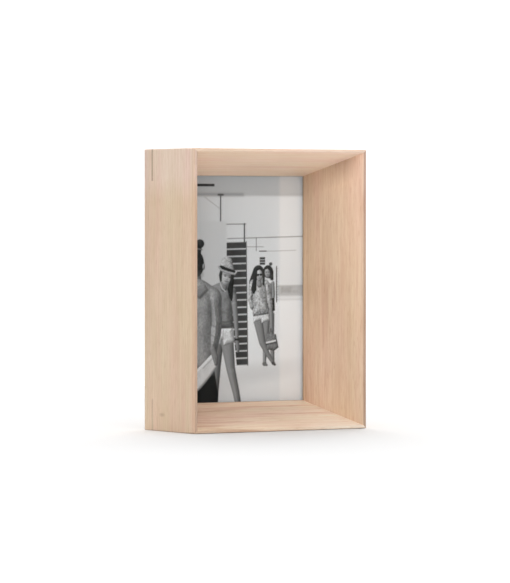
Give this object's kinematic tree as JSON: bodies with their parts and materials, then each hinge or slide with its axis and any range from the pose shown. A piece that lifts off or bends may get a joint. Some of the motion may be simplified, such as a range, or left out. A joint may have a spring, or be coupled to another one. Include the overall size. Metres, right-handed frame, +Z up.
{
  "type": "deep floating picture frame",
  "caption": "Deep wooden box picture frame with inward-sloping sides, a glazed print near the back, corner keys, turn buttons and sawtooth hangers.",
  "frame": {"origin": "bottom centre of the bounding box, on the surface the frame stands on", "axes": "+Z up along the frame's height, front opening towards -Y, hanging hardware and wall on the +Y side, X across the width"},
  "size_m": [0.13, 0.065, 0.18],
  "materials": {
    "ash_wood": "fine sanded pale straight-grained wood, matt oil",
    "key_wood": "sanded wood, grain across the mitre, slightly darker",
    "clear_glass": "clear float glass, polished",
    "print_paper": "black and white photographic print, satin",
    "grey_card": "grey card, matt",
    "fibreboard": "brown fibreboard, smooth back",
    "zinc_steel": "zinc-plated steel, satin",
    "clear_rubber": "soft translucent bumper, smooth"
  },
  "bodies": {
    "frame": {"left_board": "ash_wood", "right_board": "ash_wood", "top_board": "ash_wood", "bottom_board": "ash_wood", "corner_key_top_left": "key_wood", "corner_key_top_right": "key_wood", "corner_key_bottom_left": "key_wood", "corner_key_bottom_right": "key_wood", "glazing_pane": "clear_glass", "photo_print": "print_paper", "backing_card": "grey_card", "back_panel": "fibreboard", "button_screw_upper_left": "zinc_steel", "button_screw_upper_right": "zinc_steel", "button_screw_lower_left": "zinc_steel", "button_screw_lower_right": "zinc_steel", "portrait_hanger": "zinc_steel", "landscape_hanger": "zinc_steel", "portrait_hanger_nail_a": "zinc_steel", "portrait_hanger_nail_b": "zinc_steel", "landscape_hanger_nail_a": "zinc_steel", "landscape_hanger_nail_b": "zinc_steel", "wall_bumper_top_left": "clear_rubber", "wall_bumper_top_right": "clear_rubber", "wall_bumper_bottom_left": "clear_rubber", "wall_bumper_bottom_right": "clear_rubber"},
    "turn_button_upper_left": {"turn_button_upper_left": "zinc_steel"},
    "turn_button_upper_right": {"turn_button_upper_right": "zinc_steel"},
    "turn_button_lower_left": {"turn_button_lower_left": "zinc_steel"},
    "turn_button_lower_right": {"turn_button_lower_right": "zinc_steel"}
  },
  "joints": [
    {"name": "turn_button_upper_left_pivot", "type": "hinge", "parent": "frame", "child": "turn_button_upper_left", "pos_m": [-0.058, 0.0302, 0.135], "axis": [0, 1, 0], "continuous": true},
    {"name": "turn_button_upper_right_pivot", "type": "hinge", "parent": "frame", "child": "turn_button_upper_right", "pos_m": [0.058, 0.0302, 0.135], "axis": [0, 1, 0], "continuous": true},
    {"name": "turn_button_lower_left_pivot", "type": "hinge", "parent": "frame", "child": "turn_button_lower_left", "pos_m": [-0.058, 0.0302, 0.045], "axis": [0, 1, 0], "continuous": true},
    {"name": "turn_button_lower_right_pivot", "type": "hinge", "parent": "frame", "child": "turn_button_lower_right", "pos_m": [0.058, 0.0302, 0.045], "axis": [0, 1, 0], "continuous": true}
  ]
}
